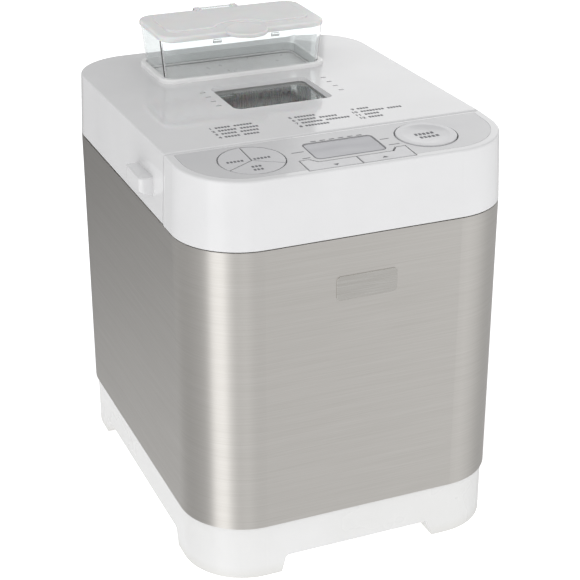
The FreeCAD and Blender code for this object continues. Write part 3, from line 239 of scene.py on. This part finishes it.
# soft light and shadows pass a clear wall, and mirrored or straight views still meet it
def letLightThrough(finish, share):
    tree = finish["tree"]
    ray = addNode(tree, "LightPath").outputs
    soft = addNode(tree, "Math", {"operation": "MAXIMUM"},
                   {0: ray["Is Shadow Ray"], 1: ray["Is Diffuse Ray"]})
    solid = addNode(tree, "MapRange", {"To Min": 1.0, "To Max": 1 - share}, {"Value": soft.outputs[0]})
    tree.links.new(solid.outputs["Result"], finish["shader"].inputs["Alpha"])


letLightThrough(clearStyrene, 0.9)

# the same resin with a little white in it: milky, glowing where light comes through, glossy outside
milkyStyrene = surface({
    "name": "milky styrene, gloss moulding",
    "shader": {"IOR": 1.5, "Transmission Weight": 0.12, "Subsurface Weight": 0.25,
               "Subsurface Scale": 2 * mm},
    "noise": {"tint": ((18, 18, 18), 3), "wipe": ((20, 3, 3), 4), "skin": ((0.9, 0.9, 0.9), 1)},
    "colour": ("tint", "F6F7F7", "F2F3F3"), "rough": ("wipe", 0.12, 0.20),
    "relief": (("skin", 0.002),)})

# the drop flap: plain white polypropylene, a little rubbed by nuts and seeds
flapPlastic = surface({
    "name": "white polypropylene flap, moulded", "shader": {"IOR": 1.49},
    "noise": {"rubbed": ((6, 12, 6), 5), "grain": ((0.6, 0.6, 0.6), 2)},
    "colour": ("rubbed", "F2F2F2", "EAEAE9"), "rough": ("rubbed", 0.25, 0.42),
    "relief": (("grain", 0.01),)})

# tempered float glass, nearly neutral, with the odd dried drip of steam inside
paneGlass = surface({
    "name": "float glass, tempered", "shader": {"Transmission Weight": 1.0, "IOR": 1.5},
    "noise": {"tint": ((50, 50, 50), 0), "steam": ((7, 7, 7), 6), "roll": ((30, 60, 60), 0)},
    "colour": ("tint", "E6EAE8", "E2E6E4"), "rough": ("steam", 0.004, 0.02),
    "relief": (("roll", 0.02),)})
letLightThrough(paneGlass, 0.9)

# acrylic over a liquid-crystal panel: flat silver grey, its tone drifting a little at random
displayFace = surface({
    "name": "acrylic over a grey display", "shader": {"IOR": 1.49},
    "noise": {"cell": ((0.45, 0.45, 0.45), 1), "slow": ((40, 14, 40), 1)},
    "colour": ("slow", "B6B6BA", "A6A6AB"), "rough": ("cell", 0.08, 0.14),
    "relief": (("cell", 0.001),)})

# polyester film printed on its back: satin grey-white over the whole key area
filmSheet = surface({
    "name": "polyester film, back printed", "shader": {"IOR": 1.5},
    "noise": {"patch": ((30, 30, 30), 3), "wipe": ((12, 7, 7), 5), "lay": ((28, 28, 28), 0)},
    "colour": ("patch", "CFCFD0", "CACACC"), "rough": ("wipe", 0.14, 0.22),
    "relief": (("lay", 0.04),)})

# key caps: gloss ABS like the lid, slightly duller where fingers press
keyCaps = surface({
    "name": "ABS key cap, moulded", "shader": {"IOR": 1.52},
    "noise": {"touch": ((8, 8, 8), 4), "skin": ((0.7, 0.7, 0.7), 1)},
    "colour": ("touch", "D3D3D5", "CFCFD1"), "rough": ("touch", 0.10, 0.20),
    "relief": (("skin", 0.001),)})

# nickel alloy heater tube after a few bakes: dark oxide with straw temper bands
heaterTube = surface({
    "name": "nickel alloy tube, oxidised by heat", "shader": {"Metallic": 0.85},
    "noise": {"band": ((26, 26, 26), 4), "scale": ((0.6, 0.6, 0.6), 3)},
    "colour": ("band", "4B4846", "756650"), "rough": ("band", 0.38, 0.60),
    "relief": (("scale", 0.02),)})

# foil badge left blank: fine satin lines across its width
foilBadge = surface({
    "name": "stainless badge, satin", "shader": {"Metallic": 1.0},
    "noise": {"line": ((24, 24, 0.5), 3), "press": ((14, 14, 14), 1)},
    "colour": ("line", "CBC9C5", "BDBAB5"), "rough": ("line", 0.20, 0.28),
    "relief": (("line", 0.002), ("press", 0.03))})

# glass-fibre board under green solder mask, with copper runs showing as lighter lines
greenBoard = surface({
    "name": "circuit board, green mask", "shader": {"IOR": 1.5, "Coat Weight": 0.4},
    "noise": {"run": ((14, 1.1, 1.1), 2), "weave": ((0.8, 0.8, 0.8), 2)},
    "colour": ("run", "1F5A38", "3F8A58"), "rough": ("weave", 0.25, 0.40),
    "relief": (("run", 0.03), ("weave", 0.004))})

# screen ink on plastic: warm grey, flat, edges a hair soft
ink = surface({
    "name": "screen ink, grey", "shader": {"IOR": 1.5, "Specular IOR Level": 0.2},
    "noise": {"screen": ((0.5, 0.5, 0.5), 2)},
    "colour": ("screen", "6C6C70", "7C7C80"), "rough": ("screen", 0.42, 0.54),
    "relief": (("screen", 0.002),)})["material"]

# plain inner parts: name, colour, second colour, gloss, tone and grain sizes in mm, relief in mm, metal
innerSpec = {
    "rubber": ("nitrile rubber, moulded", "2A2A2B", "3A3A3B", 0.70, 5, 0.5, 0.02, 0.0),
    "silicone": ("silicone rubber, moulded", "A6A6A6", "B6B6B5", 0.55, 5, 0.5, 0.02, 0.0),
    "belt": ("neoprene belt, moulded", "1E1E1F", "2C2C2D", 0.62, 5, 0.5, 0.02, 0.0),
    "steatite": ("steatite insulator, fired", "E6E1D4", "D9D2C2", 0.50, 10, 0.7, 0.02, 0.0),
    "enamel": ("motor shell, black stoved enamel", "47484A", "3A3B3D", 0.30, 11, 0.8, 0.008, 0.0),
    "iron": ("iron laminations, varnished", "5A5450", "46413E", 0.45, 7, 0.5, 0.02, 0.8),
    "nylon": ("natural nylon, moulded", "DEDACD", "D2CDBD", 0.40, 8, 0.6, 0.01, 0.0),
    "greyAbs": ("grey ABS, moulded", "8A8B8D", "7E7F81", 0.36, 8, 0.6, 0.008, 0.0),
}
glossSpread = 0.07   # either way round the gloss
inner = {}
for label, (name, first, second, gloss, toneMm, grainMm, deep, metal) in innerSpec.items():
    inner[label] = surface({
        "name": name, "shader": {"Metallic": metal},
        "noise": {"tone": ((toneMm, toneMm, toneMm), 5), "grain": ((grainMm, grainMm, grainMm), 2)},
        "colour": ("tone", first, second), "rough": ("tone", gloss - glossSpread, gloss + glossSpread),
        "relief": (("grain", deep),)})

wearing = (   # each finish, and the parts that wear it
    (glossAbs, ("lid_cover", "panel_housing")),
    (collarAbsPaintedHighlight, ("dispenser_collar",)),
    (satinBase, ("base_tray",)),
    (brushedSteel, ("steel_casing",)),
    (zincPlated, ("seam_strip", "chassis_plate", "motor_bracket", "hinge_brackets", "temperature_sensor")),
    (brightBar, ("base_screws", "case_screws", "liner_screws", "hinge_pins", "drive_shaft", "pan_shaft",
                 "pan_handle", "flap_crank", "solenoid_plunger")),
    (aluminised, ("chamber_liner",)),
    (rolledSheet, ("lid_liner", "heat_shield", "window_well", "dispenser_chute")),
    (castMetal, ("pan_socket", "pan_base_ring", "pan_ears", "pan_bearing", "drive_socket",
                 "bearing_housing")),
    (nonStick, ("bread_pan", "kneading_paddle")),
    (clearStyrene, ("dispenser_bin",)),
    (milkyStyrene, ("dispenser_lid",)),
    (flapPlastic, ("dispenser_flap",)),
    (paneGlass, ("window_glass",)),
    (displayFace, ("display_lens",)),
    (filmSheet, ("panel_overlay",)),
    (keyCaps, ("key_menu", "key_colour", "key_size", "key_down", "key_up", "key_start")),
    (heaterTube, ("heating_element",)),
    (greenBoard, ("power_board", "control_board")),
    (foilBadge, ("blank_badge",)),
    (inner["rubber"], ("rubber_feet", "cord_gland")),
    (inner["silicone"], ("lid_seals", "key_mat")),
    (inner["belt"], ("drive_belt",)),
    (inner["steatite"], ("element_terminals",)),
    (inner["enamel"], ("motor_can",)),
    (inner["iron"], ("motor_rotor",)),
    (inner["nylon"], ("large_pulley", "small_pulley")),
    (inner["greyAbs"], ("deck_frame", "flap_solenoid")),
)
dressed = set()
for finish, wearers in wearing:
    for name in wearers:
        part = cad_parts[name]
        part.data.materials.clear()
        part.data.materials.append(finish["material"])
        dressed.add(name)
print("finishes on,", len(wearing), "materials, undressed:", sorted(set(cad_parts) - dressed))


def newPiece(name, mesh, body, material):
    piece = bpy.data.objects.new(name, mesh)
    bpy.context.scene.collection.objects.link(piece)
    mesh.materials.append(material)
    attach(piece, body)
    return piece


def cornersOf(x0, x1, y0, y1, radius):   # points round a rectangle with rounded corners
    ring = []
    for quarter, (cx, cy) in enumerate(((x1 - radius, y0 + radius), (x1 - radius, y1 - radius),
                                        (x0 + radius, y1 - radius), (x0 + radius, y0 + radius))):
        for i in range(5):
            angle = math.pi / 2 * (quarter - 1 + i / 4)
            ring.append((cx + radius * math.cos(angle), cy + radius * math.sin(angle)))
    return ring


def roundedBar(work, x0, x1, y0, y1, radius, thick):   # a flat bar with rounded corners, lying on z = 0
    ring = cornersOf(x0, x1, y0, y1, radius)
    low = [work.verts.new((x, y, 0)) for x, y in ring]
    high = [work.verts.new((x, y, thick)) for x, y in ring]
    work.faces.new(high)
    work.faces.new(low[::-1])
    for i, corner in enumerate(low):
        after = (i + 1) % len(low)
        work.faces.new((corner, low[after], high[after], high[i]))


def roundedFrame(work, x0, x1, y0, y1, radius, width, thick):   # a flat frame round a rectangle
    rings = []
    for out in (0, width):
        for z in (0, thick):
            ring = cornersOf(x0 - out, x1 + out, y0 - out, y1 + out, radius + out)
            rings.append([work.verts.new((x, y, z)) for x, y in ring])
    insideLow, insideHigh, outsideLow, outsideHigh = rings
    for first, second in ((insideHigh, outsideHigh), (outsideHigh, outsideLow), (outsideLow, insideLow),
                          (insideLow, insideHigh)):
        for i, corner in enumerate(first):
            after = (i + 1) % len(first)
            work.faces.new((corner, first[after], second[after], second[i]))


figureSpec = {"tall": 0.7, "boldMm": 0.10}   # a figure's height as a share of the face's size


def addFigures(work, words, x, y, height, thick):   # plain figures, their left foot at (x, y)
    curve = bpy.data.curves.new("figures", "FONT")
    curve.body = words
    curve.size = height / figureSpec["tall"]
    curve.extrude = thick / 2
    curve.offset = figureSpec["boldMm"]
    curve.resolution_u = 3
    holder = bpy.data.objects.new("figures", curve)
    mesh = bpy.data.meshes.new_from_object(holder)
    mesh.transform(Matrix.Translation((x, y, thick / 2)))
    work.from_mesh(mesh)
    bpy.data.meshes.remove(mesh)
    bpy.data.objects.remove(holder)
    bpy.data.curves.remove(curve)


def onSlope(work, atY, atZ, fall):   # a flat drawing in mm goes to its place, tilted about a level line
    turn = Matrix.Rotation(fall, 4, "X")
    lift = Matrix.Translation(place(0, atY, atZ))
    scale = Matrix.Scale(mm, 4)
    back = Matrix.Translation((0, -atY, 0))
    bmesh.ops.transform(work, matrix=lift @ turn @ scale @ back, verts=work.verts)


def finishMesh(work, name):
    bmesh.ops.recalc_face_normals(work, faces=work.faces)
    mesh = bpy.data.meshes.new(name)
    work.to_mesh(mesh)
    work.free()
    return mesh


# the programme list printed on the lid: a figure, then words shown as rows of small blank blocks
legendSpec = {"rows": (-47.2, -53.4, -59.6, -65.9), "columns": (-68.8, -12.8, 32.7),
              "figureMm": 3.2, "figureRoomMm": 4.4, "twoFigureMm": 2.6,   # 10 and up start further left
              "blockMm": (1.55, 2.7), "stepMm": 2.15, "gapMm": 2.4, "inkMm": 0.06, "liftMm": 0.03,
              "words": (((5, 6), (6, 6), (5, 6), (5, 5)), ((7,), (6, 6), (7, 8), (8,)),
                        ((4,), (8, 5), (5,), (5,)))}   # blocks in each word, by column and row
blockCornerMm = 0.3
splitY, splitZ, rearY, rearZ = -81.5, 288.5, 141.0, 285.5   # the lid's flat top, front and rear edge
lidFall = -math.atan((splitZ - rearZ) / (rearY - splitY))


def blockWord(work, x, y, count, size, step, thick):   # one blank word, and where it ends
    wide, tall = size
    for i in range(count):
        left = x + i * step
        roundedBar(work, left, left + wide, y - tall / 2, y + tall / 2, blockCornerMm, thick)
    return x + count * step


def lidLegend():
    spec = legendSpec
    work = bmesh.new()
    number = 0
    for column, start in enumerate(spec["columns"]):
        for row, y in enumerate(spec["rows"]):
            number += 1
            left = start - (spec["twoFigureMm"] if number > 9 else 0)
            addFigures(work, str(number), left, y - spec["figureMm"] / 2, spec["figureMm"], spec["inkMm"])
            x = start + spec["figureRoomMm"]
            for count in spec["words"][column][row]:
                x = blockWord(work, x, y, count, spec["blockMm"], spec["stepMm"], spec["inkMm"])
                x += spec["gapMm"]
    onSlope(work, splitY, splitZ + spec["liftMm"], lidFall)
    newPiece("programme_list", finishMesh(work, "programme_list"), "lid", ink)


lidLegend()

# small marks on the key film: dashes beside and above the display, and a dark line round it
markSpec = {"inkMm": 0.05, "liftMm": 0.01, "keyLiftMm": 0.13, "slopeDeg": 2.36,
            "besideDisplay": ((-36.2, -27.7, -108.0, 0.8), (-33.1, -27.7, -118.3, 0.8),   # ends, y, height
                              (25.6, 31.9, -106.3, 0.8), (27.0, 34.6, -116.6, 0.8)),
            "aboveDisplay": (-17.6, 6.4, 6, 3.9, -94.6, 1.1),   # start, step, count, length, y, height
            "display": (-24.5, 23.0, -122.0, -97.0, 3.0, 0.75)}   # sides, front, rear, corner, line width


def panelMarks():
    spec = markSpec
    work = bmesh.new()
    for x0, x1, y, height in spec["besideDisplay"]:
        roundedBar(work, x0, x1, y - height / 2, y + height / 2, height / 2, spec["inkMm"])
    start, step, count, length, y, height = spec["aboveDisplay"]
    for i in range(count):
        x = start + i * step
        roundedBar(work, x, x + length, y - height / 2, y + height / 2, height / 2, spec["inkMm"])
    roundedFrame(work, *spec["display"], spec["inkMm"])
    onSlope(work, splitY, splitZ + spec["liftMm"], math.radians(spec["slopeDeg"]))
    newPiece("panel_marks", finishMesh(work, "panel_marks"), "casing", ink)


panelMarks()

keyMarkSpec = {   # key body: blank words (x, y, blocks) on its cap; the start key's lie in its dish
    "menu_key": ((-79.4, -108.4, 5),),
    "colour_key": ((-61.6, -108.4, 5),),
    "size_key": ((-67.2, -119.5, 3), (-67.6, -124.3, 3)),
    "start_key": ((50.3, -106.6, 5), (51.6, -112.0, 5)),
}
dishSpec = {"x": 57.3, "y": -109.0, "floorMm": -0.4, "liftMm": 0.03, "radiusMm": 128.0}
keyBlockSpec = {"blockMm": (1.55, 2.5), "stepMm": 2.35, "startBlockMm": (1.9, 3.1), "startStepMm": 2.85}
arrowSpec = {"keys": (("down_key", -16.8, -1), ("up_key", 16.3, 1)), "y": -133.6, "halfMm": (2.2, 1.6)}


def keyMarks():
    for body, words in keyMarkSpec.items():
        dished = body == "start_key"
        size, step = keyBlockSpec["blockMm"], keyBlockSpec["stepMm"]
        if dished:
            size, step = keyBlockSpec["startBlockMm"], keyBlockSpec["startStepMm"]
        work = bmesh.new()
        for x, y, count in words:
            blockWord(work, x, y, count, size, step, markSpec["inkMm"])
        lift = markSpec["keyLiftMm"]
        if dished:   # bend the marks to the bottom of the dish
            lift = dishSpec["floorMm"] + dishSpec["liftMm"]
            for corner in work.verts:
                out = (corner.co.x - dishSpec["x"]) ** 2 + (corner.co.y - dishSpec["y"]) ** 2
                corner.co.z += out / (2 * dishSpec["radiusMm"])
        onSlope(work, splitY, splitZ + lift, math.radians(markSpec["slopeDeg"]))
        newPiece(body + "_mark", finishMesh(work, body + "_mark"), body, ink)


def arrowMarks():   # a small triangle for less and one for more
    wide, tall = arrowSpec["halfMm"]
    for body, x, up in arrowSpec["keys"]:
        work = bmesh.new()
        flat = []
        for i in range(3):
            angle = math.radians(90 * up + 120 * i)
            flat.append((x + wide * math.cos(angle), arrowSpec["y"] + tall * math.sin(angle)))
        low = [work.verts.new((u, v, 0)) for u, v in flat]
        high = [work.verts.new((u, v, markSpec["inkMm"])) for u, v in flat]
        work.faces.new(high)
        work.faces.new(low[::-1])
        for i in range(3):
            after = (i + 1) % 3
            work.faces.new((low[i], low[after], high[after], high[i]))
        onSlope(work, splitY, splitZ + markSpec["keyLiftMm"], math.radians(markSpec["slopeDeg"]))
        newPiece(body + "_mark", finishMesh(work, body + "_mark"), body, ink)


keyMarks()
arrowMarks()
print("printing done")

# a plain pale floor, and the studio round it
floorSpec = {"sizeM": 14.0, "glow": 0.50}


def paleFloor():
    spec = floorSpec
    half = spec["sizeM"] / 2
    mesh = bpy.data.meshes.new("floor")
    corners = [(-half, -half, 0), (half, -half, 0), (half, half, 0), (-half, half, 0)]
    mesh.from_pydata(corners, [], [(0, 1, 2, 3)])
    floor = bpy.data.objects.new("floor", mesh)
    bpy.context.scene.collection.objects.link(floor)
    floor.visible_glossy = False   # the steel mirrors the studio walls, not a blank floor
    paper = surface({
        "name": "paper sweep, matt",
        "shader": {"Specular IOR Level": 0.0, "Emission Color": (1, 1, 1, 1),
                   "Emission Strength": spec["glow"]},
        "noise": {"felt": ((2, 2, 2), 2)},
        "colour": ("felt", "FAFAFA", "F8F8F8"), "rough": ("felt", 0.85, 0.95), "relief": (("felt", 0.01),)})
    mesh.materials.append(paper["material"])


paleFloor()

# The studio as a sky. Each stop: compass angle from the front in degrees, right positive, then the
# brightness above the horizon, just below it, and well below it. The ramps hold no more than 1, so they
# carry each brightness divided by the strength.
studioSpec = {"stops": ((-180, 0.34, 0.26, 0.92), (-157, 0.34, 0.24, 0.90), (-137, 0.56, 0.33, 0.58),
                        (-117, 0.86, 0.36, 0.50), (-97, 0.98, 0.42, 0.55), (-84, 0.98, 0.54, 0.62),
                        (-74, 1.05, 0.85, 0.90), (-67, 1.40, 1.65, 1.60), (-48, 1.40, 1.65, 1.60),
                        (-40, 0.95, 1.10, 1.10), (-28, 0.85, 0.80, 0.84), (-11, 0.90, 0.92, 0.92),
                        (3, 0.88, 0.66, 0.84), (23, 0.88, 0.70, 0.82), (40, 0.95, 1.00, 0.95),
                        (62, 0.88, 0.94, 0.80), (90, 0.66, 0.62, 0.56), (120, 0.62, 0.52, 0.52),
                        (148, 0.70, 0.50, 0.60), (165, 0.42, 0.36, 0.80), (180, 0.34, 0.26, 0.92)),
              "zenith": 0.80, "strength": 2.0,   # and the heights over which each layer takes over
              "blends": {"wellBelow": (-0.34, -0.50), "above": (-0.14, 0.05), "zenith": (0.45, 0.95)}}


def studioSky():
    spec = studioSpec
    world = bpy.data.worlds.new("studio")
    bpy.context.scene.world = world
    world.use_nodes = True
    tree = world.node_tree
    tree.nodes.clear()
    where = addNode(tree, "TexCoord")
    axes = addNode(tree, "SeparateXYZ", {}, {0: where.outputs["Generated"]}).outputs
    toRear = addNode(tree, "Math", {"operation": "MULTIPLY", 1: -1.0}, {0: axes["Y"]}).outputs[0]
    compass = addNode(tree, "Math", {"operation": "ARCTAN2"}, {0: axes["X"], 1: toRear}).outputs[0]
    share = addNode(tree, "MapRange", {"From Min": -math.pi, "From Max": math.pi}, {"Value": compass})
    layers = {}
    for layer, label in enumerate(("above", "justBelow", "wellBelow"), 1):
        walls = addNode(tree, "ValToRGB", {}, {"Fac": share.outputs["Result"]})
        ramp = walls.color_ramp
        for i, stopSpec in enumerate(spec["stops"]):
            at = (stopSpec[0] + 180) / 360
            stop = ramp.elements[i] if i < 2 else ramp.elements.new(at)
            stop.position = at
            stop.color = [stopSpec[layer] / spec["strength"]] * 3 + [1]
        layers[label] = walls.outputs["Color"]
    sky = layers["justBelow"]
    top = [spec["zenith"] / spec["strength"]] * 3 + [1]
    for label, (start, end) in spec["blends"].items():
        amount = addNode(tree, "MapRange", {"From Min": start, "From Max": end}, {"Value": axes["Z"]})
        links = {0: amount.outputs["Result"], 6: sky}
        if label in layers:
            links[7] = layers[label]
        sky = addNode(tree, "Mix", {"data_type": "RGBA", 7: top}, links).outputs[2]
    lit = addNode(tree, "Background", {"Strength": spec["strength"]}, {"Color": sky})
    plain = addNode(tree, "Background", {"Color": (1, 1, 1, 1), "Strength": 1.0})
    seen = addNode(tree, "LightPath").outputs["Is Camera Ray"]
    both = addNode(tree, "MixShader", {}, {0: seen, 1: lit.outputs[0], 2: plain.outputs[0]})
    addNode(tree, "OutputWorld", {}, {"Surface": both.outputs[0]})


studioSky()

softboxSpec = {"name": "rearRightBox", "angle": 141, "climb": 21, "distance": 1.3, "sizeM": (0.62, 0.62),
               "watts": 0.95, "targetMm": (0, 0, 250)}


def aimed(angle, climb, distance, target):   # a place seen from target, and the turn that faces it back
    a, e = math.radians(angle), math.radians(climb)
    away = Vector((math.sin(a) * math.cos(e), -math.cos(a) * math.cos(e), math.sin(e)))
    return target + away * distance, away.to_track_quat("Z", "Y")


def aimAt(thing, spec):
    thing.rotation_mode = "QUATERNION"
    thing.location, thing.rotation_quaternion = aimed(spec["angle"], spec["climb"], spec["distance"],
                                                      place(*spec["targetMm"]))
    bpy.context.scene.collection.objects.link(thing)


lamp = bpy.data.lights.new(softboxSpec["name"], "AREA")
lamp.shape = "RECTANGLE"
lamp.size, lamp.size_y = softboxSpec["sizeM"]
lamp.energy = softboxSpec["watts"]
aimAt(bpy.data.objects.new(softboxSpec["name"], lamp), softboxSpec)

cameraSpec = {"angle": -22.744, "climb": 25.246, "distance": 1.14144, "targetMm": (6.81, -3.30, 140.13),
              "lensMm": 97.36, "sensorMm": 36.0}
camera = bpy.data.objects.new("camera", bpy.data.cameras.new("camera"))
camera.data.lens = cameraSpec["lensMm"]
camera.data.sensor_width = cameraSpec["sensorMm"]
aimAt(camera, cameraSpec)
bpy.context.scene.camera = camera
bpy.context.scene.view_settings.view_transform = "Standard"
print("studio ready")
